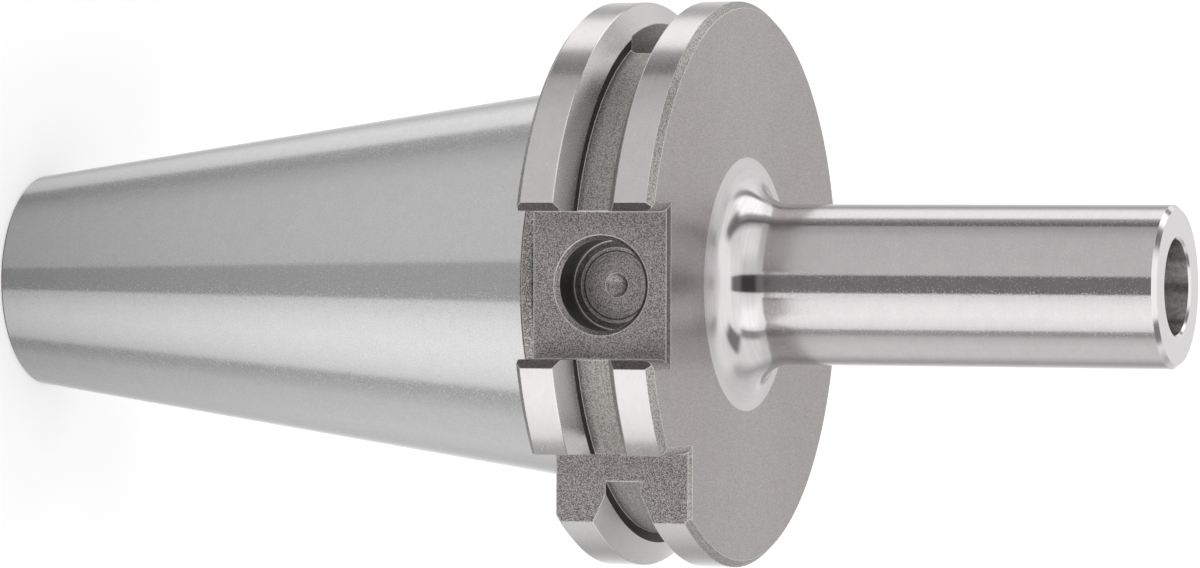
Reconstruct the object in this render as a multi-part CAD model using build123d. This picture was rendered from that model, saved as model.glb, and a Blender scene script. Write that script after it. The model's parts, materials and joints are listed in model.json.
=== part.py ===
from build123d import *
import math
import os

# Steep-taper tool holder for screw-in milling heads. Millimetres.
# The axis is Z. The origin is the centre of the gauge circle, where the taper
# has its nominal diameter, and +Z points towards the nose that carries the head.

# Steep taper
gauge_diameter = 44.45
taper_growth = 7 / 24          # diameter gained for each millimetre of length
taper_length = 68.4            # from the gauge circle to the small end
taper_end_break = 0.2          # edge break at the small end
taper_run_out = 0.5            # the ground cone ends this far in front of the gauge circle
neck_relief = 0.15             # depth of the unground neck under the end of the cone
neck_corner_radius = 0.8       # where the neck meets the back of the flange

# Flange for the tool changer
flange_diameter = 63.55
flange_back = 3.2              # from the gauge circle
flange_front = 19.1            # from the gauge circle
back_rim_break = 0.6
front_rim_break = 0.75

# Gripper groove, given as an inspector checks it: by the size over two pins
groove_centre = 11.1           # from the gauge circle
groove_angle = 60              # between the two flanks
groove_pin_diameter = 7.0
groove_over_pins = 72.3
groove_floor_diameter = 56.25
groove_floor_width = 4.1

# Two drive slots across the flange
slot_width = 16.1
front_slot_floor = 25.0        # from the axis to the floor of the slot at -Y
rear_slot_floor = 22.8         # from the axis to the floor of the slot at +Y
slot_edge_break = 0.95         # 45 degree break along the mouth of each slot
mouth_radius = 1.2             # rounding where milled side walls meet the front face
floor_edge_break = 0.4         # edge break where milled floors meet the front face

# Orientation notch, cut away from the edge of the flange
notch_ceiling = 18.5           # from the axis to the face that looks along +X
notch_wall = 18.0              # from the axis to the face that looks along -Y

# Blind hole for a data carrier, in the floor of the front slot
carrier_diameter = 10.0
carrier_depth = 4.6
carrier_break = 0.5
carrier_ledge_radius = 4.13    # the drilled rim of the bottom ends here
carrier_disc_radius = 3.72     # the flat middle of the bottom
carrier_step = 0.12            # each of the two small steps in the bottom
carrier_point_diameter = 2.7   # mark that the drill point left
carrier_point_angle = 118

# Balancing pocket in the floor of the groove, at the side away from the notch
pocket_half_length = 11.5
pocket_floor = 24.6            # from the axis
pocket_corner_radius = 1.6
pocket_side_play = 0.12        # the pocket is wider than the groove's floor by this, each side

# Nose
nose_diameter = 18.0
nose_tip = 69.0                # from the gauge circle
nose_root_radius = 5.25        # fillet between the nose and the front face
nose_tip_break = 0.5

# Bore in the nose for a screw-in head
head_pilot_diameter = 10.5
head_pilot_depth = 8.0
head_pilot_break = 0.25
head_thread_core = 8.5         # M10 x 1.5 tapped hole, before its thread
head_thread_depth = 27.0       # from the tip to the end of the tapped hole
head_thread_lead = 0.75        # 45 degree lead at the start of the thread

# Bore in the small end for a pull stud
stud_pilot_diameter = 17.0
stud_pilot_depth = 8.2
stud_pilot_break = 1.0
stud_thread_core = 14.0        # M16 x 2 tapped hole, before its thread
stud_thread_depth = 43.0       # from the small end to the end of the tapped hole
stud_thread_lead = 1.0

# Coolant bore that joins the two tapped holes
coolant_diameter = 6.0
drill_point_angle = 118

clear = 5.0                    # how far a cutter runs past the metal that it cuts


def cone_radius(z):
    """Radius of the ground taper, or of its continuation, at the height z."""
    return (gauge_diameter + taper_growth * z) / 2


small_end = -taper_length
flange_radius = flange_diameter / 2
nose_radius = nose_diameter / 2
half_groove_angle = math.radians(groove_angle / 2)
pin_centre = groove_over_pins / 2 - groove_pin_diameter / 2
groove_apex = pin_centre - groove_pin_diameter / 2 / math.sin(half_groove_angle)
groove_half_opening = (flange_radius - groove_apex) * math.tan(half_groove_angle)
groove_wall_top = groove_apex + groove_floor_width / 2 / math.tan(half_groove_angle)
groove_floor = groove_floor_diameter / 2


def turned(points, arcs=()):
    """Solid turned about Z from a closed outline of (radius, z) corners.

    arcs holds (corner number, radius) pairs: those corners are rounded.
    """
    corners = [Vector(r, 0, z) for r, z in points]
    radii = [0.0] * len(corners)
    for number, radius in arcs:
        radii[number] = radius
    outline = FilletPolyline(*corners, radius=radii, close=True)
    return revolve(make_face(outline), Axis.Z)


def turned_blank():
    """Taper, neck, flange and nose as they leave the lathe and the grinder."""
    run_out_radius = cone_radius(taper_run_out)
    neck_radius = run_out_radius - neck_relief
    corners = [
        (0, small_end),
        (cone_radius(small_end + taper_end_break) - taper_end_break, small_end),
        (cone_radius(small_end + taper_end_break), small_end + taper_end_break),
        (run_out_radius, taper_run_out),
        (neck_radius, taper_run_out + neck_relief),
        (neck_radius, flange_back),
        (flange_radius - back_rim_break, flange_back),
        (flange_radius, flange_back + back_rim_break),
        (flange_radius, flange_front - front_rim_break),
        (flange_radius - front_rim_break, flange_front),
        (nose_radius, flange_front),
        (nose_radius, nose_tip - nose_tip_break),
        (nose_radius - nose_tip_break, nose_tip),
        (0, nose_tip),
    ]
    return turned(corners, arcs=((5, neck_corner_radius), (10, nose_root_radius)))


def gripper_groove():
    """Ring of metal that the groove takes out of the flange's rim."""
    outside = flange_radius + clear
    half_outside = groove_half_opening + clear * math.tan(half_groove_angle)
    corners = [
        (groove_floor, groove_centre - groove_floor_width / 2),
        (groove_wall_top, groove_centre - groove_floor_width / 2),
        (outside, groove_centre - half_outside),
        (outside, groove_centre + half_outside),
        (groove_wall_top, groove_centre + groove_floor_width / 2),
        (groove_floor, groove_centre + groove_floor_width / 2),
    ]
    return turned(corners)


def slot_walls(floor):
    """Slot with a mouth that flares out at the front face, cut from -Y to this floor."""
    half = slot_width / 2
    low = flange_back - clear
    high = flange_front + clear
    flare = flange_front - mouth_radius
    sides = [
        Line((-half, flare), (-half, low)),
        Line((-half, low), (half, low)),
        Line((half, low), (half, flare)),
        RadiusArc((half, flare), (half + mouth_radius, flange_front), mouth_radius),
        Line((half + mouth_radius, flange_front), (half + mouth_radius, high)),
        Line((half + mouth_radius, high), (-half - mouth_radius, high)),
        Line((-half - mouth_radius, high), (-half - mouth_radius, flange_front)),
        RadiusArc((-half - mouth_radius, flange_front), (-half, flare), mouth_radius),
    ]
    plan = Plane.XZ * make_face(Curve() + sides)
    return Pos(0, -floor, 0) * extrude(plan, flange_radius + clear - floor)


def notch_walls(floor):
    """Corner beyond the slot at +X, with the same flare, cut from -Y to this floor."""
    low = flange_back - clear
    high = flange_front + clear
    outside = flange_radius + clear
    flare = flange_front - mouth_radius
    sides = [
        Line((notch_ceiling, flare), (notch_ceiling, low)),
        Line((notch_ceiling, low), (outside, low)),
        Line((outside, low), (outside, high)),
        Line((outside, high), (notch_ceiling - mouth_radius, high)),
        Line((notch_ceiling - mouth_radius, high), (notch_ceiling - mouth_radius, flange_front)),
        RadiusArc((notch_ceiling - mouth_radius, flange_front), (notch_ceiling, flare), mouth_radius),
    ]
    plan = Plane.XZ * make_face(Curve() + sides)
    return Pos(0, -floor, 0) * extrude(plan, outside - floor)


def with_floor_break(walls, floor):
    """Cutter whose floor also loses its edge at the front face.

    The break is cut from the same walls, made deeper, so that it follows their flare.
    """
    section = Polyline(
        (-floor, flange_front - floor_edge_break),
        (-floor + floor_edge_break + clear, flange_front + clear),
        (-floor - clear, flange_front + clear),
        (-floor - clear, flange_front - floor_edge_break),
        close=True,
    )
    reach = flange_radius + clear
    wedge = extrude(Pos(-reach, 0, 0) * (Plane.YZ * make_face(section)), 2 * reach)
    return walls(floor) + (walls(floor - floor_edge_break - clear) & wedge)


def rim_breaks():
    """The 45 degree breaks that open the walls of a slot where they leave the rim."""
    half = slot_width / 2
    low = flange_back - clear
    high = flange_front + clear
    wall_top = math.sqrt(flange_radius**2 - (half + slot_edge_break) ** 2)
    reach = flange_radius + clear - wall_top
    mouth = Polyline(
        (-half, -wall_top + slot_edge_break),
        (half, -wall_top + slot_edge_break),
        (half + slot_edge_break + reach, -wall_top - reach),
        (-half - slot_edge_break - reach, -wall_top - reach),
        close=True,
    )
    return Pos(0, 0, low) * extrude(make_face(mouth), high - low)


def drive_slot(floor):
    """Cutter for a drive slot at -Y whose floor is this far from the axis."""
    return with_floor_break(slot_walls, floor) + rim_breaks()


def orientation_notch():
    """Cutter for the corner that is milled off the flange at +X and -Y."""
    return with_floor_break(notch_walls, notch_wall)


def data_carrier_hole():
    """Blind hole in the floor of the front slot, with the tool marks of its bottom."""
    radius = carrier_diameter / 2
    point_radius = carrier_point_diameter / 2
    point_depth = point_radius / math.tan(math.radians(carrier_point_angle / 2))
    bottom = -carrier_depth
    corners = [
        (0, clear),
        (radius + carrier_break, clear),
        (radius + carrier_break, 0),
        (radius, -carrier_break),
        (radius, bottom),
        (carrier_ledge_radius, bottom - carrier_step),
        (carrier_disc_radius, bottom - carrier_step),
        (carrier_disc_radius, bottom - 2 * carrier_step),
        (point_radius, bottom - 2 * carrier_step),
        (0, bottom - 2 * carrier_step - point_depth),
    ]
    return Pos(0, -front_slot_floor, groove_centre) * (Rot(90, 0, 0) * turned(corners))


def balancing_pocket():
    """Flat-bottomed pocket along Y, milled into the floor of the groove at -X."""
    half_width = groove_floor_width / 2 + pocket_side_play
    plan = Pos(0, groove_centre) * RectangleRounded(
        2 * pocket_half_length, 2 * half_width, pocket_corner_radius
    )
    depth = flange_radius + clear - pocket_floor
    return Pos(-pocket_floor, 0, 0) * extrude(Plane.YZ * plan, -depth)


def bores():
    """Pull-stud bore, coolant bore and screw-in head bore, from end to end."""
    coolant = coolant_diameter / 2
    slope = math.tan(math.radians(drill_point_angle / 2))
    stud_core = stud_thread_core / 2
    stud_pilot = stud_pilot_diameter / 2
    head_core = head_thread_core / 2
    head_pilot = head_pilot_diameter / 2
    stud_shoulder = small_end + stud_pilot_depth
    stud_bottom = small_end + stud_thread_depth
    head_shoulder = nose_tip - head_pilot_depth
    head_bottom = nose_tip - head_thread_depth
    corners = [
        (0, small_end - clear),
        (stud_pilot + stud_pilot_break, small_end - clear),
        (stud_pilot + stud_pilot_break, small_end),
        (stud_pilot, small_end + stud_pilot_break),
        (stud_pilot, stud_shoulder),
        (stud_core + stud_thread_lead, stud_shoulder),
        (stud_core, stud_shoulder + stud_thread_lead),
        (stud_core, stud_bottom),
        (coolant, stud_bottom + (stud_core - coolant) / slope),
        (coolant, head_bottom - (head_core - coolant) / slope),
        (head_core, head_bottom),
        (head_core, head_shoulder - head_thread_lead),
        (head_core + head_thread_lead, head_shoulder),
        (head_pilot, head_shoulder),
        (head_pilot, nose_tip - head_pilot_break),
        (head_pilot + head_pilot_break, nose_tip),
        (head_pilot + head_pilot_break, nose_tip + clear),
        (0, nose_tip + clear),
    ]
    return turned(corners)


def adapter_body():
    """The whole adapter: one solid of hardened steel."""
    body = turned_blank() - gripper_groove()
    body -= drive_slot(front_slot_floor)
    body -= Rot(0, 0, 180) * drive_slot(rear_slot_floor)
    body -= orientation_notch()
    body -= data_carrier_hole()
    body -= balancing_pocket()
    body -= bores()
    return body


def main():
    os.makedirs("parts", exist_ok=True)
    body = adapter_body().solid()
    body.label = "adapter_body"
    export_step(body, "parts/adapter_body.step")


main()
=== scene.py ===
# %% [markdown]
# # A steep-taper holder for screw-in milling heads
# The object is one piece of hardened steel. A ground cone fits the machine's
# spindle, a flange with a V-groove is what the tool changer grips, and a slim nose
# carries the milling head. This lesson turns it, mills it and gives each surface the
# finish that its last machining step left on it.

# %% The fixed frame
import json
import math

import bmesh
import bpy
from mathutils import Matrix, Vector

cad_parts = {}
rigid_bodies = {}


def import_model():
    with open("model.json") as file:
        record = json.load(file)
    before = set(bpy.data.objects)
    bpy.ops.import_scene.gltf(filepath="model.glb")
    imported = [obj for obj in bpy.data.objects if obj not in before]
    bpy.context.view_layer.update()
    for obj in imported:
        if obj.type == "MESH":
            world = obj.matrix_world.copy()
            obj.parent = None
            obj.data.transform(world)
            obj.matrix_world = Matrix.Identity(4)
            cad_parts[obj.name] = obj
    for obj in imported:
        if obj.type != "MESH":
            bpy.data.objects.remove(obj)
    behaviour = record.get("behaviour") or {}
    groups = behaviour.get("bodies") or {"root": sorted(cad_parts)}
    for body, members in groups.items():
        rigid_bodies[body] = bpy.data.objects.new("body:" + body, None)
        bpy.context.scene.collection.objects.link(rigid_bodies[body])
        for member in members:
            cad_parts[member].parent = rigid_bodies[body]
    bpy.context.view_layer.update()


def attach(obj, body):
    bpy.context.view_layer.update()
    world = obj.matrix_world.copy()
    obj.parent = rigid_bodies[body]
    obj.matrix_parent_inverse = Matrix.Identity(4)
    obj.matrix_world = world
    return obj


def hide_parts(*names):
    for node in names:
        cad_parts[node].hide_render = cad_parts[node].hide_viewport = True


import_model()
mm = 0.001

# %% [markdown]
# ## Camera
# A long lens from far away keeps the nose and the flange in the proportions of the
# photograph. The camera looks down on the axis by some 21 degrees and lies on its
# side, so the holder stands on its small end and still runs across the picture. The
# place and the lens come from fitting the outlines of the flange, the slot and the
# nose, whose real sizes are known.

# %% Camera
picture_width = 1200
focal_pixels = 5748
sensor_width = 36.0
camera_place = Vector((-5.289, -608.302, 236.733)) * mm
camera_target = Vector((0.071, 0.0, 1.331)) * mm
camera_roll = math.radians(-0.378)


def add_camera():
    lens = bpy.data.cameras.new("camera")
    lens.sensor_width = sensor_width
    lens.lens = focal_pixels * sensor_width / picture_width
    lens.clip_start = 10 * mm
    lens.clip_end = 20.0
    camera = bpy.data.objects.new("camera", lens)
    bpy.context.scene.collection.objects.link(camera)
    ahead = (camera_target - camera_place).normalized()
    along = Vector((0, 0, 1))
    along = (along - along.dot(ahead) * ahead).normalized()
    along = Matrix.Rotation(camera_roll, 3, ahead) @ along
    upward = along.cross(ahead)
    turn = Matrix((along, upward, -ahead)).transposed()
    camera.matrix_world = Matrix.Translation(camera_place) @ turn.to_4x4()
    bpy.context.scene.camera = camera
    return camera


camera = add_camera()
print("camera: lens", round(camera.data.lens, 1), "mm, at", camera.location[:])

# %% [markdown]
# ## Shader sums
# Every finish below is worked out from the place on the steel, so it needs many small
# sums of node outputs. Placing Math nodes one by one hides the idea. A `Wire` stands
# for one output and takes part in sums like a number, and `Bench` adds every other
# kind of node with one call.

# %% Wires and the bench
class Wire:
    """One output of a node, which can be added, multiplied and raised like a number."""

    def __init__(self, bench, socket):
        self.bench = bench
        self.socket = socket

    def sum(self, operation, *terms):
        return self.bench.node("ShaderNodeMath", {"operation": operation}, dict(enumerate(terms)))

    def __add__(self, other):
        return self.sum("ADD", self, other)

    def __radd__(self, other):
        return self.sum("ADD", other, self)

    def __sub__(self, other):
        return self.sum("SUBTRACT", self, other)

    def __rsub__(self, other):
        return self.sum("SUBTRACT", other, self)

    def __mul__(self, other):
        return self.sum("MULTIPLY", self, other)

    def __rmul__(self, other):
        return self.sum("MULTIPLY", other, self)

    def __truediv__(self, other):
        return self.sum("DIVIDE", self, other)

    def __pow__(self, other):
        return self.sum("POWER", self, other)


class Bench:
    """The node tree of a material or of the world."""

    def __init__(self, owner):
        owner.use_nodes = True
        self.tree = owner.node_tree
        self.tree.nodes.clear()

    def node(self, kind, settings, values, output=0):
        """Adds a node: settings first, then the values or wires of its sockets."""
        made = self.tree.nodes.new(kind)
        for name, setting in settings.items():
            if name == "stops":
                stops = made.color_ramp.elements
                for place, level in setting[1:-1]:
                    stops.new(place)
                for stop, (place, level) in zip(stops, setting):
                    stop.position = place
                    stop.color = (level, level, level, 1)
            else:
                setattr(made, name, setting)
        for key, value in values.items():
            if isinstance(value, Wire):
                self.tree.links.new(value.socket, made.inputs[key])
            else:
                made.inputs[key].default_value = value
        return Wire(self, made.outputs[output]) if made.outputs else None

    def output_of(self, wire, name):
        """Another output of the node that a wire comes from."""
        return Wire(self, wire.socket.node.outputs[name])

    def between(self, value, low, high):
        """0 below low, 1 above high and a soft step between them."""
        settings = {"interpolation_type": "SMOOTHSTEP"}
        ends = {"Value": value, "From Min": low, "From Max": high, "To Min": 0.0, "To Max": 1.0}
        return self.node("ShaderNodeMapRange", settings, ends)

    def blend(self, factor, first, second):
        """Mix of two colours."""
        values = {"Factor": factor, 6: first, 7: second}
        return self.node("ShaderNodeMix", {"data_type": "RGBA", "clamp_factor": True}, values, output=2)

    def shade(self, colour, factor):
        """A colour made lighter or darker by a factor."""
        scaled = {"Vector": colour, "Scale": factor}
        return self.node("ShaderNodeVectorMath", {"operation": "SCALE"}, scaled)

    def vector(self, x, y, z):
        return self.node("ShaderNodeCombineXYZ", {}, {"X": x, "Y": y, "Z": z})

    def noise(self, place, detail, roughness=0.5):
        """Noise about 0.5 whose cells are one unit of the given place across."""
        values = {"Vector": place, "Scale": 1.0, "Detail": detail, "Roughness": roughness}
        return self.node("ShaderNodeTexNoise", {"noise_dimensions": "3D"}, values)


print("bench ready")

# %% [markdown]
# ## Studio
# Polished steel has hardly a colour of its own: it shows the room. A product
# photographer hangs long soft boxes and dark flags round such a part, parallel to its
# axis, so that every cylinder gets crisp bands along its length. Real lamps and cards
# could be modelled, but a world whose brightness depends only on the direction does
# the same with no noise. The direction round the axis picks a level from a ramp, and
# four ramps are mixed by height: the cone sees the lowest bands, the nose sees those
# below the horizon, the bore and the face of the flange see those above it, and breaks
# and fillet see the crown. Straight up everything is evenly bright, and the room gets
# darker towards the ground.

# %% Bands round the part, as (degrees round the axis from the camera, level)
brightest = 1.5
nose_bands = [
    (-180, 0.86), (-168, 0.78), (-158, 0.62), (-147, 0.45), (-141, 0.62), (-135, 1.08), (-126, 1.20),
    (-113, 1.20), (-109, 0.46), (-101, 0.24), (-95, 0.16), (-93, 0.46), (-70, 0.64), (-15, 0.68),
    (-13.5, 0.21), (10.5, 0.22), (12, 0.96), (26, 1.18), (44, 1.24), (58, 1.12), (65, 0.96),
    (67, 0.46), (73, 0.42), (80, 0.68), (95, 0.80), (118, 0.78), (137, 0.47), (144, 0.46),
    (158, 0.72), (169, 1.05), (180, 0.86),
]
taper_bands = [
    (-180, 0.95), (-170, 0.90), (-162, 0.70), (-155, 0.66), (-147, 0.90), (-138, 1.02), (-120, 1.00),
    (-117, 0.50), (-104, 0.48), (-96, 0.60), (-80, 0.72), (-57, 0.74), (-14.6, 0.74), (-13.6, 0.50),
    (11.0, 0.50), (12.2, 0.90), (27, 1.10), (42, 1.18), (57, 1.12), (71, 0.98), (73.5, 0.54), (84, 0.62),
    (95, 0.78), (125, 0.82), (148, 0.74), (158, 0.74), (170, 0.92), (180, 0.95),
]
high_bands = [
    (-180, 0.86), (-166, 0.84), (-155, 0.98), (-149, 1.05), (-145, 0.32), (-140, 0.32), (-137, 1.35),
    (-132, 1.45), (-112, 1.45), (-106, 0.50), (-95, 0.12), (-89, 0.60), (-80, 1.00), (-50, 1.05),
    (-30, 0.80), (-15, 0.75), (-13, 0.06), (10, 0.06), (12, 0.90), (25, 1.05), (38, 1.35), (58, 1.40),
    (65, 1.00), (68, 0.35), (76, 0.35), (84, 0.95), (118, 0.95), (137, 0.50), (150, 0.72), (180, 0.86),
]
crown_bands = [
    (-180, 1.05), (-166, 1.00), (-159, 0.60), (-151, 0.60), (-145, 1.05), (-123, 1.05), (-116, 0.35),
    (-104, 0.20), (-94, 0.25), (-84, 0.85), (-50, 1.00), (-16, 1.00), (-13, 0.20), (10, 0.20),
    (13, 1.05), (60, 1.15), (74, 1.05), (82, 0.24), (108, 0.24), (117, 0.95), (180, 1.05),
]
zenith_level = 1.15
ground_shade = 0.35

# %% Heights between which one kind of band gives way to the next, in degrees
nose_heights = (-30, -20)
high_heights = (-4, 8)
crown_heights = (34, 44)
zenith_heights = (58, 68)
ground_depths = (46, 62)


def step_of_height(bench, height, heights):
    """0 below the first height, 1 above the second one."""
    low, high = [math.sin(math.radians(degrees)) for degrees in heights]
    return bench.between(height, low, high)


def ring_of_light(bench, turn, bands):
    """Level of the bands in a direction, given as its share of the turn round the axis."""
    stops = [(degrees / 360 + 0.5, level / brightest) for degrees, level in bands]
    return bench.node("ShaderNodeValToRGB", {"stops": stops}, {"Fac": turn}) * brightest


def make_studio():
    world = bpy.data.worlds.new("studio")
    bpy.context.scene.world = world
    bench = Bench(world)
    direction = bench.node("ShaderNodeTexCoord", {}, {}, output="Generated")
    x = bench.node("ShaderNodeSeparateXYZ", {}, {"Vector": direction}, output="X")
    y = bench.output_of(x, "Y")
    height = bench.output_of(x, "Z")
    turn = x.sum("ARCTAN2", x, 0 - y) / (2 * math.pi) + 0.5
    for_nose = step_of_height(bench, height, nose_heights)
    level = ring_of_light(bench, turn, taper_bands) * (1 - for_nose)
    level = level + ring_of_light(bench, turn, nose_bands) * for_nose
    for_face = step_of_height(bench, height, high_heights)
    level = level * (1 - for_face) + ring_of_light(bench, turn, high_bands) * for_face
    for_crown = step_of_height(bench, height, crown_heights)
    level = level * (1 - for_crown) + ring_of_light(bench, turn, crown_bands) * for_crown
    overhead = step_of_height(bench, height, zenith_heights)
    level = level * (1 - overhead) + zenith_level * overhead
    below = step_of_height(bench, 0 - height, ground_depths)
    level = level * (1 - ground_shade * below)
    to_camera = bench.node("ShaderNodeLightPath", {}, {}, output="Is Camera Ray")
    level = level * (1 - to_camera) + to_camera
    light = bench.node("ShaderNodeBackground", {}, {"Color": (1, 1, 1, 1), "Strength": level})
    bench.node("ShaderNodeOutputWorld", {}, {"Surface": light})


make_studio()
print("studio:", [len(bands) for bands in (taper_bands, nose_bands, high_bands, crown_bands)], "stops")

# %% [markdown]
# ## Floor
# The holder stands on its small end on a plain pale floor. The floor is lit by the
# studio and adds a little light of its own for the camera only, so it shows white and
# keeps the soft shadow under the part. Mirror rays pass it, so the steel shows the
# bands below the horizon too. It lies a hair below the steel, and from underneath it is
# clear, which leaves the small end open to view.

# %% Floor
small_end = -68.4
hair = 0.02
floor_size = 12.0
floor_albedo = 0.65
floor_glow = 0.5


def add_floor():
    bpy.ops.object.select_all(action="DESELECT")
    bpy.ops.mesh.primitive_plane_add(size=floor_size, location=(0, 0, (small_end - hair) * mm))
    floor = bpy.context.active_object
    floor.name = "floor"
    paper = bpy.data.materials.new("pale_paper")
    bench = Bench(paper)
    to_camera = bench.node("ShaderNodeLightPath", {}, {}, output="Is Camera Ray")
    lit = bench.node("ShaderNodeBsdfDiffuse", {}, {"Color": (floor_albedo, floor_albedo, floor_albedo, 1)})
    glow = bench.node("ShaderNodeEmission", {}, {"Strength": to_camera * floor_glow})
    both = bench.node("ShaderNodeAddShader", {}, {0: lit, 1: glow})
    underside = bench.node("ShaderNodeNewGeometry", {}, {}, output="Backfacing")
    nothing = bench.node("ShaderNodeBsdfTransparent", {}, {})
    sheet = bench.node("ShaderNodeMixShader", {}, {0: underside, 1: both, 2: nothing})
    bench.node("ShaderNodeOutputMaterial", {}, {"Surface": sheet})
    floor.data.materials.append(paper)
    floor.visible_glossy = False
    return floor


floor = add_floor()
print("floor at", small_end, "mm")

# %% [markdown]
# ## Finishes
# Turning and grinding leave fine lines that run round the axis. On a cylinder, a cone,
# a fillet and a flat face alike, height minus radius changes steadily across those
# lines, so noise that is stretched along the circle and read against that value gives
# the lay of the tool everywhere. Milled and blasted faces have no lay, only grains.
# The lines also stretch reflections across them, which the shader's own anisotropy
# does. A Bevel node turns the normal near each edge, so edges catch a thin light line
# as broken edges of real steel do.

# %% Where a point lies on the steel
grain_turn = 0.25
grain_askew = (0.6, 0.9, 0.3)
bevel_samples = 4
edge_start = 0.003
edge_full = 0.022


class Steel(Bench):
    """A finish of the hardened steel, with the places that its patterns need."""

    def __init__(self, name):
        self.material = bpy.data.materials.new(name)
        super().__init__(self.material)
        self.place = self.node("ShaderNodeTexCoord", {}, {}, output="Object")
        self.x = self.node("ShaderNodeSeparateXYZ", {}, {"Vector": self.place}, output="X")
        self.y = self.output_of(self.x, "Y")
        self.z = self.output_of(self.x, "Z")
        self.radius = (self.x * self.x + self.y * self.y) ** 0.5

    def lay(self, length, width, detail=2.0):
        """Tool lines round the axis, with a typical length and width in millimetres."""
        across = (self.z - self.radius) / (width * mm)
        along = 1 / (length * mm)
        return self.noise(self.vector(self.x * along, self.y * along, across), detail)

    def grains(self, size, detail=2.0, roughness=0.6):
        """Grains of this size in millimetres, with their lattice askew to the milled faces."""
        scale = 1 / (size * mm)
        values = {"Vector": self.place, "Rotation": grain_askew, "Scale": (scale, scale, scale)}
        return self.noise(self.node("ShaderNodeMapping", {}, values), detail, roughness)

    def relief(self, height, depth, edge=None):
        """Normal of a surface whose height, in 0 to 1, spans a depth in millimetres."""
        values = {"Height": height, "Distance": depth * mm, "Strength": 1.0}
        if edge is not None:
            values["Normal"] = edge
        return self.node("ShaderNodeBump", {}, values)

    def broken_edge(self, width):
        """Normal that turns round within this many millimetres of an edge."""
        return self.node("ShaderNodeBevel", {"samples": bevel_samples}, {"Radius": width * mm})

    def edge_mask(self, rounded):
        """1 where the rounded normal leaves the true one, on edges and in corners."""
        true_normal = self.node("ShaderNodeNewGeometry", {}, {}, output="Normal")
        values = {0: rounded, 1: true_normal}
        along = self.node("ShaderNodeVectorMath", {"operation": "DOT_PRODUCT"}, values, output="Value")
        return self.between(1 - along, edge_start, edge_full)

    def finish(self, colour, roughness, normal, anisotropy=0.0):
        values = {"Base Color": colour, "Roughness": roughness, "Metallic": 1.0, "Normal": normal}
        values["Anisotropic"] = anisotropy
        values["Anisotropic Rotation"] = grain_turn
        shader = self.node("ShaderNodeBsdfPrincipled", {}, values, output="BSDF")
        self.node("ShaderNodeOutputMaterial", {}, {"Surface": shader})
        return self.material


# %% [markdown]
# ### Ground steel
# The cone, the rim, the flanks of the groove and the nose are ground last, so they are
# the bright faces. The wheel leaves short fine lines, and here and there a grain tears
# out a speck. A speck mirrors another part of the studio, light in a dark band and dark
# in a light one, so it is relief first. Grit in the tone makes it a little lighter still
# and gives the cone its sand-like look. Painted shade also darkens the tone of the cone
# a little towards its small end.

# %% Ground steel
def ground_steel(name, tone, roughness, speck_depth, grit, anisotropy, painted_shade=0.0):
    """Bright steel, whose tone is darkened by this share of painted shade from the gauge circle to the
    small end.
    """
    steel = Steel(name)
    from_gauge = steel.z * steel.z / (small_end * mm) ** 2
    lines = steel.lay(length=6.0, width=0.16)
    patches = steel.grains(1.6, detail=2.0)
    specks = steel.between(steel.grains(0.18, detail=1.0), 0.59, 0.72)
    fine = steel.grains(0.12, detail=1.0)
    shine = 0.97 + 0.06 * lines + 0.10 * (patches - 0.5) + grit * (fine - 0.5) + 0.4 * grit * specks
    # painted shade: the tone darkens towards the small end of the cone
    colour = steel.shade(tone, shine * (1 - painted_shade * from_gauge))
    rough = roughness + 0.03 * (lines - 0.5) + 0.06 * (patches - 0.5) + 0.12 * specks
    normal = steel.relief(0.1 * lines + 0.9 * specks, speck_depth, steel.broken_edge(0.1))
    return steel.finish(colour, rough, normal, anisotropy)


ground_taper = ground_steel(
    "ground_taper", (0.63, 0.63, 0.63),
    roughness=0.125, speck_depth=0.005, grit=0.40, anisotropy=0.96, painted_shade=0.35,
)
ground_rim = ground_steel(
    "ground_rim", (0.70, 0.68, 0.675), roughness=0.145, speck_depth=0.002, grit=0.12, anisotropy=0.95
)
ground_flank = ground_steel(
    "ground_flank", (0.58, 0.565, 0.56), roughness=0.22, speck_depth=0.003, grit=0.20, anisotropy=0.8
)
ground_nose = ground_steel(
    "ground_nose", (0.66, 0.635, 0.64), roughness=0.10, speck_depth=0.003, grit=0.16, anisotropy=0.95
)
print("ground finishes: cone, rim, flanks and nose")

# %% [markdown]
# ### Turned steel
# The front face, the fillet at the foot of the nose and the tip come from the lathe.
# The face is matt and warm from hardening, the fillet is polished smooth because a
# scratch there would start a crack, and the tip keeps a fine feed. The pilots of both
# bores are ground bright, and the tapped holes behind them keep the dark skin of
# hardening.

# %% Turned steel
nose_radius = 9.0
root_radius = 5.25
face_dark = (0.31, 0.286, 0.282, 1)
face_light = (0.50, 0.467, 0.459, 1)
# light tone at the face's edges: partly wear, partly painted highlight
face_wear_and_highlight = (0.80, 0.78, 0.76, 1)
fillet_tone = (0.67, 0.645, 0.65)
fillet_dulls_from = nose_radius + 1.6
tip_tone = (0.75, 0.73, 0.73)


def turned_face():
    steel = Steel("turned_face")
    feed = steel.lay(length=20.0, width=0.12)
    grains = steel.grains(0.15, detail=3.0)
    patches = steel.grains(3.0, detail=1.0)
    spread = steel.between(grains, 0.36, 0.64)
    tone = steel.blend(spread, face_dark, face_light)
    colour = steel.shade(tone, 0.94 + 0.10 * patches + 0.02 * feed)
    rough = 0.35 + 0.14 * (grains - 0.5)
    rounded = steel.broken_edge(0.14)
    edge = steel.edge_mask(rounded)
    # edges and inner corners are painted lighter: partly wear, partly painted highlight
    colour = steel.blend(0.7 * edge, colour, face_wear_and_highlight)
    height = 0.1 * feed + 0.9 * grains
    return steel.finish(colour, rough - 0.1 * edge, steel.relief(height, 0.006, rounded), 0.6)


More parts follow.
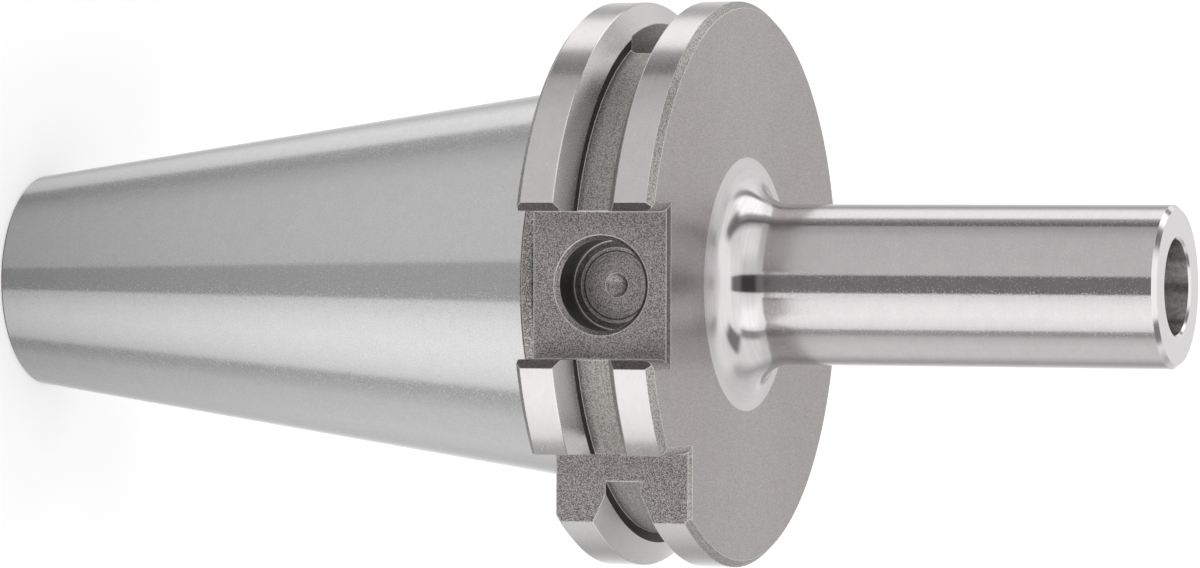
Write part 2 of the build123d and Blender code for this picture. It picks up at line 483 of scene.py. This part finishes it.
def polished_fillet():
    steel = Steel("polished_fillet")
    feed = steel.lay(length=25.0, width=0.3)
    smudges = steel.grains(2.2, detail=3.0)
    streaks = steel.lay(length=9.0, width=0.45, detail=3.0)
    foot = steel.between(steel.radius, fillet_dulls_from * mm, (nose_radius + root_radius) * mm)
    colour = steel.shade(fillet_tone, 0.84 + 0.12 * smudges + 0.20 * streaks)
    rough = 0.10 + 0.08 * (smudges - 0.4) + 0.05 * (feed - 0.5) + 0.24 * foot
    return steel.finish(colour, rough, steel.relief(0.2 * feed + 0.8 * smudges, 0.003), 0.75)


def turned_tip():
    steel = Steel("turned_tip")
    feed = steel.lay(length=15.0, width=0.1)
    colour = steel.shade(tip_tone, 0.95 + 0.10 * feed)
    normal = steel.relief(feed, 0.0006, steel.broken_edge(0.06))
    return steel.finish(colour, 0.12 + 0.06 * (feed - 0.5), normal, 0.6)


def bored_hole(name, tone, roughness):
    steel = Steel(name)
    feed = steel.lay(length=20.0, width=0.15)
    stains = steel.grains(0.5, detail=4.0)
    colour = steel.shade(tone, 0.85 + 0.3 * steel.between(stains, 0.35, 0.65))
    normal = steel.relief(0.4 * feed + 0.6 * stains, 0.0004)
    return steel.finish(colour, roughness + 0.06 * (feed - 0.5), normal, 1.0)


front_finish = turned_face()
fillet_finish = polished_fillet()
tip_finish = turned_tip()
pilot_finish = bored_hole("bored_pilot", (0.60, 0.58, 0.575), roughness=0.26)
thread_finish = bored_hole("tapped_hole", (0.24, 0.225, 0.22), roughness=0.36)
print("turned finishes: face, fillet, tip, pilots and tapped holes")

# %% [markdown]
# ### Hardened and blasted steel
# Slots, groove floor, neck and rim breaks keep the skin of hardening, cleaned by
# blasting: a warm dark grey of fine bright and dark grains. The same recipe serves
# them all, with its own tone, grain size and depth for each face. The neck is painted
# darker in the corner behind the flange, as painted shade. Edges and inner corners are
# painted light, partly as wear and partly as a painted highlight, and they are made
# rougher, not smoother, so that they catch light from all round and not one dark band alone.

# %% Hardened steel
# heights in millimetres where painted shade darkens the neck behind the flange
neck_painted_shade = (1.6, 2.0, 2.4, 2.6)
neck_shade_loss = 0.65
pit_size = 1.9
pit_tone = (0.10, 0.09, 0.09, 1)
# light tone at edges and inner corners: partly wear, partly painted highlight
wear_and_highlight = (0.98, 0.96, 0.94, 1)


def hardened_steel(name, dark, light, grain_size, depth, roughness=0.48, lay_share=0.0, edge_width=0.18):
    """Grains between a dark and a light tone, with their size and depth in millimetres."""
    steel = Steel(name)
    grains = steel.grains(grain_size, detail=2.0, roughness=0.65)
    pits = steel.between(steel.grains(grain_size * pit_size, detail=1.0), 0.56, 0.70)
    feed = steel.lay(length=12.0, width=0.2)
    rounded = steel.broken_edge(edge_width)
    edge = steel.edge_mask(rounded)
    mixed = grains * (1 - lay_share) + feed * lay_share
    contrast = steel.between(mixed, 0.42, 0.58)
    tone = steel.blend(contrast, dark + (1,), light + (1,))
    tone = steel.blend(0.5 * pits, tone, pit_tone)
    # painted shade: the neck is darkened in the corner behind the flange
    start, full, last, end = [z * mm for z in neck_painted_shade]
    corner = steel.between(steel.z, start, full) * (1 - steel.between(steel.z, last, end))
    tone = steel.shade(tone, 1 - neck_shade_loss * corner)
    # edges and inner corners are painted light: partly wear, partly painted highlight
    tone = steel.blend(edge, tone, wear_and_highlight)
    rough = roughness + 0.16 * (grains - 0.5) + 0.10 * edge
    return steel.finish(tone, rough, steel.relief(mixed, depth, rounded))


slot_finish = hardened_steel(
    "hardened_slot", (0.195, 0.177, 0.175), (0.64, 0.592, 0.584), grain_size=0.12, depth=0.014
)
notch_finish = hardened_steel(
    "hardened_notch", (0.165, 0.150, 0.147), (0.72, 0.675, 0.665), grain_size=0.11, depth=0.014
)
neck_finish = hardened_steel(
    "hardened_neck", (0.15, 0.137, 0.135), (0.64, 0.60, 0.59), grain_size=0.15, depth=0.013
)
groove_finish = hardened_steel(
    "hardened_groove", (0.24, 0.23, 0.218), (0.56, 0.535, 0.508),
    grain_size=0.12, depth=0.011, lay_share=0.15,
)
chamfer_finish = hardened_steel(
    "hardened_chamfer", (0.27, 0.262, 0.245), (0.58, 0.56, 0.535),
    grain_size=0.13, depth=0.010, roughness=0.44, lay_share=0.15, edge_width=0.12,
)
break_finish = hardened_steel(
    "hardened_break", (0.10, 0.091, 0.089), (0.23, 0.213, 0.21),
    grain_size=0.13, depth=0.008, edge_width=0.12,
)
# near-black tone of the groove's walls and the small-end break: dark hardened skin plus painted shade
shaded_wall_finish = hardened_steel(
    "hardened_wall_painted_shade", (0.04, 0.036, 0.035), (0.10, 0.092, 0.090),
    grain_size=0.14, depth=0.010, edge_width=0.02,
)
print("hardened finishes: slot, notch, groove, neck, breaks and walls")

# %% [markdown]
# ### The bottom of the data carrier's hole
# The drill leaves small steps in the bottom of the blind hole, and their light and
# shade are painted into the tone as rings: a painted highlight in the corner at the
# wall, painted shade on the ledge, a painted highlight where the first step goes down
# and painted shade round the disc in the middle. The steps are real geometry, but only
# a tenth of a millimetre deep, so the tone of the steel carries these marks. Where a
# ring lies is read from the distance to the hole's axis. The wall is darkened with painted shade.

# %% Places of the rings, in millimetres from the axis of the hole
groove_centre = 11.1
front_slot_floor = 25.0
carrier_radius = 5.0
carrier_break = 0.5
carrier_ledge = 4.13
carrier_disc = 3.72
# radii of the painted shade and painted highlight rings
ledge_shade = (carrier_ledge + 0.05, carrier_radius - 0.20)
disc_rim_shade = (carrier_disc - 0.06, carrier_disc + 0.10)
corner_highlight = (carrier_radius - 0.15, carrier_radius - 0.04)
step_highlight = (carrier_ledge - 0.10, carrier_ledge + 0.04)
wall_shade = (carrier_radius - 0.06, carrier_radius - 0.03)
ring_blur = 0.02
mark_width = 0.16
mark_length = 3.0

# %% Drilled bottom
drill_dark = (0.19, 0.171, 0.169, 1)
drill_light = (0.67, 0.618, 0.612, 1)
painted_highlight_tone = (0.90, 0.87, 0.85, 1)


def drilled_bottom():
    steel = Steel("drilled_bottom")
    height = steel.z - groove_centre * mm
    distance = (steel.x * steel.x + height * height) ** 0.5
    across = distance / (mark_width * mm)
    along = 1 / (mark_length * mm)
    marks = steel.noise(steel.vector(across, steel.x * along, height * along), 2.0)
    grains = steel.grains(0.125)
    rounded = steel.broken_edge(0.16)
    edge = steel.edge_mask(rounded)
    mixed = 0.15 * marks + 0.85 * grains
    tone = steel.blend(steel.between(mixed, 0.40, 0.60), drill_dark, drill_light)
    mouth = -front_slot_floor + carrier_break
    inside = steel.between(steel.y, mouth * mm, (mouth + 0.06) * mm)

    def ring(radii):
        """1 between two radii, inside the hole alone."""
        start, end = radii
        rise = steel.between(distance, (start - ring_blur) * mm, (start + ring_blur) * mm)
        fall = steel.between(distance, (end - ring_blur) * mm, (end + ring_blur) * mm)
        return inside * rise * (1 - fall)

    # painted shade on the ledge, round the disc and on the wall, and painted highlights at the corner and
    # the step
    disc_shade = ring(disc_rim_shade)
    painted_highlights = ring(corner_highlight) + 0.6 * ring(step_highlight)
    wall = inside * steel.between(distance, wall_shade[0] * mm, wall_shade[1] * mm)
    shine = (1 - 0.66 * ring(ledge_shade)) * (1 - 0.70 * disc_shade)
    tone = steel.shade(tone, shine * (1 - 0.80 * wall) * (0.75 + 0.25 * inside))
    # edges are painted light, partly as wear and partly as painted highlight
    tone = steel.blend(edge * (1 - wall) * (1 - disc_shade), tone, wear_and_highlight)
    tone = steel.blend(0.50 * painted_highlights, tone, painted_highlight_tone)
    rough = 0.42 + 0.1 * (marks - 0.5) + 0.16 * edge
    return steel.finish(tone, rough, steel.relief(mixed, 0.012, rounded))


drill_finish = drilled_bottom()
print("drilled finish: ledge", ledge_shade, "mm, rut", disc_rim_shade, "mm")

# %% [markdown]
# ## Tools for turning and milling
# A lathe shows the way: half of the section is drawn beside the axis and spun round
# it. `draw` starts from a single corner of a plane and extrudes it from point to
# point. `spun` turns such an outline into a solid, and `milled` extrudes one into the
# shape of a cutter's path, which a Boolean modifier then takes out of the steel.

# %% Drawing an outline
facets = 512


def only(thing):
    """Nothing but this object is selected and active."""
    bpy.ops.object.select_all(action="DESELECT")
    thing.select_set(True)
    bpy.context.view_layer.objects.active = thing
    return thing


def draw(name, points):
    """Closed loop of edges through points in space, left in edit mode and selected."""
    bpy.ops.object.select_all(action="DESELECT")
    bpy.ops.mesh.primitive_plane_add(size=mm)
    outline = bpy.context.active_object
    outline.name = outline.data.name = name
    bpy.ops.object.mode_set(mode="EDIT")
    bpy.ops.mesh.merge(type="CENTER")
    bpy.ops.transform.translate(value=points[0])
    for before, point in zip(points, points[1:]):
        step = Vector(point) - Vector(before)
        bpy.ops.mesh.extrude_region_move(TRANSFORM_OT_translate={"value": step})
    loop = bmesh.from_edit_mesh(outline.data)
    for corner in loop.verts:
        corner.select_set(len(corner.link_edges) == 1)
    loop.select_flush(False)
    bpy.ops.mesh.edge_face_add()
    bpy.ops.mesh.select_all(action="SELECT")
    return outline


def arc(centre, radius, start, end, steps):
    """Points on an arc in the plane of the section, with angles in degrees."""
    points = []
    for step in range(steps + 1):
        angle = math.radians(start + (end - start) * step / steps)
        points.append((centre[0] + radius * math.cos(angle), centre[1] + radius * math.sin(angle)))
    return points


def tidy(thing, reach=1e-7):
    """Seams closed and faces turned outwards, and back to object mode."""
    bpy.ops.mesh.select_all(action="SELECT")
    bpy.ops.mesh.remove_doubles(threshold=reach)
    bpy.ops.mesh.delete_loose()
    bpy.ops.mesh.select_all(action="SELECT")
    bpy.ops.mesh.normals_make_consistent(inside=False)
    bpy.ops.object.mode_set(mode="OBJECT")
    return thing


def spun(name, section, steps=facets):
    """Solid turned about Z from a closed section of (radius, z) points in millimetres."""
    turned = draw(name, [(r * mm, 0, z * mm) for r, z in section])
    bpy.ops.mesh.spin(steps=steps, angle=2 * math.pi, center=(0, 0, 0), axis=(0, 0, 1))
    return tidy(turned)


def pushed(name, points, step):
    """Prism between a closed plan of points in millimetres and its copy one step on."""
    block = draw(name, [Vector(point) * mm for point in points])
    bpy.ops.mesh.edge_face_add()
    bpy.ops.mesh.extrude_region_move(TRANSFORM_OT_translate={"value": Vector(step) * mm})
    return tidy(block)


def milled(name, plan, start, depth):
    """Prism along -Y, from a closed plan of (x, z) points in millimetres."""
    return pushed(name, [(x, -start, z) for x, z in plan], (0, -depth, 0))


# %% [markdown]
# ## The turned and ground body
# The section holds everything that goes round the axis: the cone of 7 in 24, the
# neck behind the flange, the rim with its V-groove, the fillet and the nose, and the
# stepped bores for the pull stud and the milling head. The tapped holes are left a
# hair wider than their threads, which are added as pieces of their own. The edges
# between the ground lands and the groove are broken by a stroke of the stone.

# %% Driving dimensions of the turned body
gauge_diameter = 44.45
taper_growth = 7 / 24
taper_end_break = 0.2
taper_run_out = 0.5
neck_relief = 0.15
neck_corner = 0.8
flange_radius = 63.55 / 2
flange_back = 3.2
flange_front = 19.1
back_rim_break = 0.6
front_rim_break = 0.75
groove_half_angle = math.radians(30)
pin_radius = 3.5
over_pins = 72.3
groove_floor = 56.25 / 2
groove_half_floor = 4.1 / 2
stone_break = 0.07
nose_tip = 69.0
nose_tip_break = 0.5


def cone_radius(z):
    return (gauge_diameter + taper_growth * z) / 2


groove_apex = over_pins / 2 - pin_radius - pin_radius / math.sin(groove_half_angle)
groove_half_opening = (flange_radius - groove_apex) * math.tan(groove_half_angle)
groove_wall_top = groove_apex + groove_half_floor / math.tan(groove_half_angle)
print("groove opening:", round(2 * groove_half_opening, 2), "mm")


# %% Outside of the section, from the small end to the tip
def groove_side(side):
    """Corners of one side of the groove, from the land down to the floor."""
    edge = groove_centre + side * groove_half_opening
    wall = groove_centre + side * groove_half_floor
    slope = stone_break * math.sin(groove_half_angle)
    inward = stone_break * math.cos(groove_half_angle)
    return [
        (flange_radius, edge + side * stone_break),
        (flange_radius - inward, edge - side * slope),
        (groove_wall_top, wall),
        (groove_floor, wall),
    ]


def outside():
    run_out = cone_radius(taper_run_out)
    neck = run_out - neck_relief
    points = [
        (cone_radius(small_end + taper_end_break) - taper_end_break, small_end),
        (cone_radius(small_end + taper_end_break), small_end + taper_end_break),
        (run_out, taper_run_out),
        (neck, taper_run_out + neck_relief),
    ]
    points += arc((neck + neck_corner, flange_back - neck_corner), neck_corner, 180, 90, steps=6)
    points += [
        (flange_radius - back_rim_break, flange_back),
        (flange_radius, flange_back + back_rim_break),
    ]
    points += groove_side(-1) + groove_side(1)[::-1]
    points += [
        (flange_radius, flange_front - front_rim_break),
        (flange_radius - front_rim_break, flange_front),
    ]
    fillet_centre = (nose_radius + root_radius, flange_front + root_radius)
    points += arc(fillet_centre, root_radius, 270, 180, steps=32)
    points += [
        (nose_radius, nose_tip - nose_tip_break),
        (nose_radius - nose_tip_break, nose_tip),
    ]
    return points


# %% Bores of the section, from the tip back to the small end
head_pilot = 10.5 / 2
head_pilot_depth = 8.0
head_pilot_break = 0.25
head_thread_major = 10.0 / 2
head_thread_minor = 8.5 / 2
head_thread_depth = 27.0
head_full_thread = 17.0
stud_pilot = 17.0 / 2
stud_pilot_depth = 8.2
stud_pilot_break = 1.0
stud_thread_major = 16.0 / 2
stud_thread_minor = 14.0 / 2
stud_thread_depth = 43.0
stud_full_thread = 30.0
coolant = 6.0 / 2
drill_slope = math.tan(math.radians(118 / 2))
head_shoulder = nose_tip - head_pilot_depth
stud_shoulder = small_end + stud_pilot_depth


def inside():
    head_bottom = nose_tip - head_thread_depth
    stud_bottom = small_end + stud_thread_depth
    head_thread_end = head_shoulder - head_full_thread
    stud_thread_end = stud_shoulder + stud_full_thread
    return [
        (head_pilot + head_pilot_break, nose_tip),
        (head_pilot, nose_tip - head_pilot_break),
        (head_pilot, head_shoulder),
        (head_thread_major + hair, head_shoulder),
        (head_thread_major + hair, head_thread_end),
        (head_thread_minor, head_thread_end),
        (head_thread_minor, head_bottom),
        (coolant, head_bottom - (head_thread_minor - coolant) / drill_slope),
        (coolant, stud_bottom + (stud_thread_minor - coolant) / drill_slope),
        (stud_thread_minor, stud_bottom),
        (stud_thread_minor, stud_thread_end),
        (stud_thread_major + hair, stud_thread_end),
        (stud_thread_major + hair, stud_shoulder),
        (stud_pilot, stud_shoulder),
        (stud_pilot, small_end + stud_pilot_break),
        (stud_pilot + stud_pilot_break, small_end),
    ]


body = spun("adapter", outside() + inside())
print("turned body:", len(body.data.polygons), "faces")

# %% [markdown]
# ### Which machine made which face
# Each face gets the finish of the step that made it, read off from where it lies and
# which way it looks. `outward` is 1 on a face that looks straight away from the axis, 0
# on one that looks along it and below 0 in a bore. This is done before milling, while
# every face still belongs to one band of the section.

# %% Finishes of the turned faces
in_bore = -0.1
off_wall = 0.4
straight_out = 0.8
touch = 0.001


def turned_finish(place, normal):
    radius = math.hypot(place.x, place.y) / mm
    z = place.z / mm
    outward = (place.x * normal.x + place.y * normal.y) / (radius * mm)
    if z > nose_tip - head_pilot_break and outward < in_bore:
        return tip_finish
    between_ends = small_end + hair < z < nose_tip - hair
    if outward < in_bore or (radius < nose_radius - nose_tip_break and between_ends):
        return pilot_finish if z > head_shoulder or z < stud_shoulder else thread_finish
    if z > nose_tip - nose_tip_break:
        return tip_finish
    if radius < nose_radius + root_radius and z > flange_front + touch:
        return ground_nose if z > flange_front + root_radius else fillet_finish
    if z > flange_front - touch:
        return front_finish
    if z > flange_front - front_rim_break:
        return chamfer_finish
    if z > flange_back + back_rim_break:
        if outward > off_wall and radius > groove_wall_top:
            return ground_rim if outward > straight_out else ground_flank
        # the groove's walls get the near-black finish with painted shade
        return groove_finish if outward > off_wall else shaded_wall_finish
    if radius > flange_radius - back_rim_break:
        return chamfer_finish
    # the small-end break also gets the near-black finish with painted shade
    if z < small_end + taper_end_break:
        return shaded_wall_finish if z > small_end + touch else chamfer_finish
    if z < taper_run_out and outward > straight_out:
        return ground_taper
    return neck_finish


def give_finishes(thing):
    for face in thing.data.polygons:
        finish = turned_finish(face.center, face.normal)
        if finish.name not in thing.data.materials:
            thing.data.materials.append(finish)
        face.material_index = thing.data.materials.find(finish.name)


give_finishes(body)
print("finishes on the turned body:", [finish.name for finish in body.data.materials])

# %% [markdown]
# ## Milled features
# Two drive slots cross the flange, and keys on the spindle push the holder round by
# them. The corner beyond the front slot is milled off as a notch that tells the tool
# changer which way round the holder sits. A blind hole in the slot's floor takes a data
# carrier, and a flat pocket in the groove's floor balances the notch. A cutter's side
# that lies exactly in a face of the steel leaves slivers behind, so each cutter starts
# or ends a hair beyond the face that it meets, and a slanted one overlaps the slot that
# is already open.

# %% Driving dimensions of the milled features
slot_half_width = 16.1 / 2
rear_slot_floor = 22.8
slot_edge_break = 0.95
mouth_radius = 1.2
floor_edge_break = 0.4
below_floor = floor_edge_break + 0.1
notch_ceiling = 18.5
notch_wall = 18.0
carrier_depth = 4.6
carrier_step = 0.12
carrier_point = 2.7 / 2
pocket_half_length = 11.5
pocket_floor = 24.6
pocket_corner = 1.6
pocket_side_play = 0.12
clear = 5.0
overlap = 1.0


# %% The mill
def machine(steel, tool, operation):
    """Applies a Boolean of the steel with a tool, and deletes the tool."""
    only(steel)
    mill = steel.modifiers.new("mill", "BOOLEAN")
    mill.operation = operation
    mill.solver = "EXACT"
    mill.material_mode = "TRANSFER"
    mill.object = tool
    bpy.ops.object.modifier_apply(modifier=mill.name)
    bpy.data.objects.remove(tool)


# %% Cutters for the drive slots and the notch
def slot_cutter(name, floor, inset=0.0):
    """Straight walls that flare out at the front face, cut down to this floor."""
    half = slot_half_width - inset
    low, high = flange_back - clear, flange_front + clear
    flare = flange_front - mouth_radius + hair
    wide = half + mouth_radius
    plan = [(-half, low), (half, low)]
    plan += arc((wide, flare), mouth_radius, 180, 90, steps=8)
    plan += [(wide, high), (-wide, high)]
    plan += arc((-wide, flare), mouth_radius, 90, 0, steps=8)
    return milled(name, plan, floor, flange_radius + clear - floor)


def rim_break_cutter(name):
    """Opens the walls of a slot by 45 degrees where they come out of the rim."""
    low, high = flange_back - clear, flange_front + clear
    wide = slot_half_width + slot_edge_break
    wall_top = math.sqrt(flange_radius ** 2 - wide ** 2)
    inner = slot_edge_break + overlap
    outer = flange_radius + clear - wall_top
    plan = [
        (-wide + inner, -wall_top + inner),
        (wide - inner, -wall_top + inner),
        (wide + outer, -wall_top - outer),
        (-wide - outer, -wall_top - outer),
    ]
    return pushed(name, [(x, y, low) for x, y in plan], (0, 0, high - low))


def notch_cutter(name, wall, inset=0.0):
    low, high = flange_back - clear, flange_front + clear
    ceiling = notch_ceiling + inset
    flare = flange_front - mouth_radius + hair
    inner = ceiling - mouth_radius
    outer = flange_radius + clear
    plan = [(inner, high)]
    plan += arc((inner, flare), mouth_radius, 90, 0, steps=8)
    plan += [(ceiling, low), (outer, low), (outer, high)]
    return milled(name, plan, wall, outer - wall)


def floor_break_cutter(name, cutter, floor):
    """The part of a deeper cutter that breaks the edge of its floor at the front face."""
    outline = cutter(name, floor - below_floor, hair)
    front = flange_front + clear
    slant = flange_front - floor_edge_break
    section = [
        (-floor - overlap, slant - overlap),
        (-floor + front - slant, front),
        (-floor - overlap, front),
    ]
    reach = flange_radius + 2 * clear
    wedge = pushed("wedge", [(-reach, y, z) for y, z in section], (2 * reach, 0, 0))
    machine(outline, wedge, "INTERSECT")
    return outline


# %% Cutters for the data carrier's hole and the pocket
def carrier_cutter(name):
    bottom = -carrier_depth
    point_depth = carrier_point / drill_slope
    section = [
        (0, clear),
        (carrier_radius + carrier_break + hair, clear),
        (carrier_radius + carrier_break + hair, hair),
        (carrier_radius, -carrier_break),
        (carrier_radius, bottom),
        (carrier_ledge, bottom - carrier_step),
        (carrier_disc, bottom - carrier_step),
        (carrier_disc, bottom - 2 * carrier_step),
        (carrier_point, bottom - 2 * carrier_step),
        (0, bottom - 2 * carrier_step - point_depth),
    ]
    drill = spun(name, section, steps=128)
    upright = Matrix.Rotation(math.radians(90), 4, "X")
    place = Matrix.Translation((0, -front_slot_floor * mm, groove_centre * mm))
    drill.data.transform(place @ upright)
    return drill


def pocket_cutter(name):
    half_width = groove_half_floor + pocket_side_play
    long, short = pocket_half_length - pocket_corner, half_width - pocket_corner
    corners = [(long, short, 90), (long, -short, 0), (-long, -short, -90), (-long, short, -180)]
    plan = []
    for x, z, start in corners:
        plan += arc((x, groove_centre + z), pocket_corner, start, start - 90, steps=10)
    block = milled(name, plan, pocket_floor, flange_radius + clear - pocket_floor)
    block.data.transform(Matrix.Rotation(math.radians(-90), 4, "Z"))
    return block


# %% Taking the cuts
def cut(steel, cutter, finish):
    """Takes a cutter out of the steel and leaves its finish on the new faces."""
    name = cutter.name
    cutter.data.materials.clear()
    cutter.data.materials.append(finish)
    machine(steel, cutter, "DIFFERENCE")
    print("cut", name, "leaves", len(steel.data.polygons), "faces")


def turned_round(cutter):
    """The same cutter on the other side of the axis."""
    cutter.data.transform(Matrix.Rotation(math.pi, 4, "Z"))
    return cutter


front_break = floor_break_cutter("front_break", slot_cutter, front_slot_floor)
rear_break = floor_break_cutter("rear_break", slot_cutter, rear_slot_floor)
notch_break = floor_break_cutter("notch_break", notch_cutter, notch_wall)
cut(body, slot_cutter("front_slot", front_slot_floor), slot_finish)
cut(body, rim_break_cutter("front_rim"), break_finish)
cut(body, front_break, break_finish)
cut(body, turned_round(slot_cutter("rear_slot", rear_slot_floor)), slot_finish)
cut(body, turned_round(rim_break_cutter("rear_rim")), break_finish)
cut(body, turned_round(rear_break), break_finish)
cut(body, notch_cutter("notch", notch_wall), notch_finish)
cut(body, notch_break, chamfer_finish)
cut(body, carrier_cutter("carrier_hole"), drill_finish)
cut(body, pocket_cutter("pocket"), groove_finish)


# %% Checking the milled mesh
def edges_and_volume(thing):
    """Number of edges that don't join two faces, and the volume in cubic millimetres."""
    mesh = bmesh.new()
    mesh.from_mesh(thing.data)
    count = sum(len(edge.link_faces) != 2 for edge in mesh.edges)
    volume = mesh.calc_volume() / mm ** 3
    mesh.free()
    return count, volume


only(body)
bpy.ops.object.mode_set(mode="EDIT")
tidy(body, reach=1e-6)
print("milled body: open edges and cubic millimetres", edges_and_volume(body))

# %% Smooth rounds and crisp edges
sharp_from = math.radians(20)
only(body)
bpy.ops.object.shade_smooth_by_angle(angle=sharp_from)
flatten = body.modifiers.new("flatten", "WEIGHTED_NORMAL")
flatten.keep_sharp = True
bpy.ops.object.modifier_apply(modifier=flatten.name)

# %% [markdown]
# ## Threads
# The nose takes a milling head and the small end a pull stud, both with right-hand
# metric threads. An inner thread is a ridge that climbs the wall of its hole: the
# section of one ridge, wide at the wall and narrow at the crest with flanks 60 degrees
# apart, is drawn once and a Screw modifier carries it round and upwards. Between two
# turns the wall stays bare for an eighth of the pitch. The foot of the ridge sinks a
# hair into the wall, and each ridge is closed at both ends.

# %% Ridges of the two threads
flank_slope = math.tan(math.radians(30))
thread_steps = 96


def threaded(name, major, minor, pitch, start, turns):
    """Ridge of an inner thread that starts at a height and climbs this many turns."""
    crest = pitch / 2 - pitch / 16 - (major - minor) * flank_slope
    foot = major + 2 * hair
    root = crest + (foot - minor) * flank_slope
    section = [(foot, start - root), (foot, start + root), (minor, start + crest), (minor, start - crest)]
    ridge = draw(name, [(r * mm, 0, z * mm) for r, z in section])
    bpy.ops.object.mode_set(mode="OBJECT")
    climb = ridge.modifiers.new("climb", "SCREW")
    climb.axis = "Z"
    climb.angle = 2 * math.pi
    climb.screw_offset = pitch * mm
    climb.iterations = turns
    climb.steps = thread_steps
    bpy.ops.object.modifier_apply(modifier=climb.name)
    bpy.ops.object.mode_set(mode="EDIT")
    bpy.ops.mesh.select_all(action="SELECT")
    bpy.ops.mesh.fill_holes(sides=8)
    tidy(ridge)
    bpy.ops.object.shade_smooth_by_angle(angle=sharp_from)
    ridge.data.materials.append(thread_finish)
    print(name, "open edges and cubic millimetres", edges_and_volume(ridge))
    return ridge


# %% Both threads
head_pitch = 1.5
head_turns = 10
head_start = head_shoulder - head_full_thread + 0.5 * head_pitch
stud_pitch = 2.0
stud_turns = 14
stud_start = stud_shoulder + 0.5 * stud_pitch
head_sizes = (head_thread_major, head_thread_minor, head_pitch, head_start, head_turns)
stud_sizes = (stud_thread_major, stud_thread_minor, stud_pitch, stud_start, stud_turns)
head_thread = threaded("head_thread", *head_sizes)
stud_thread = threaded("stud_thread", *stud_sizes)

# %% Standing for the CAD node
for thread in (head_thread, stud_thread):
    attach(thread, "root")
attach(body, "root")
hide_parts("adapter_body")

# %% Finish
bpy.context.scene.view_settings.view_transform = "Standard"
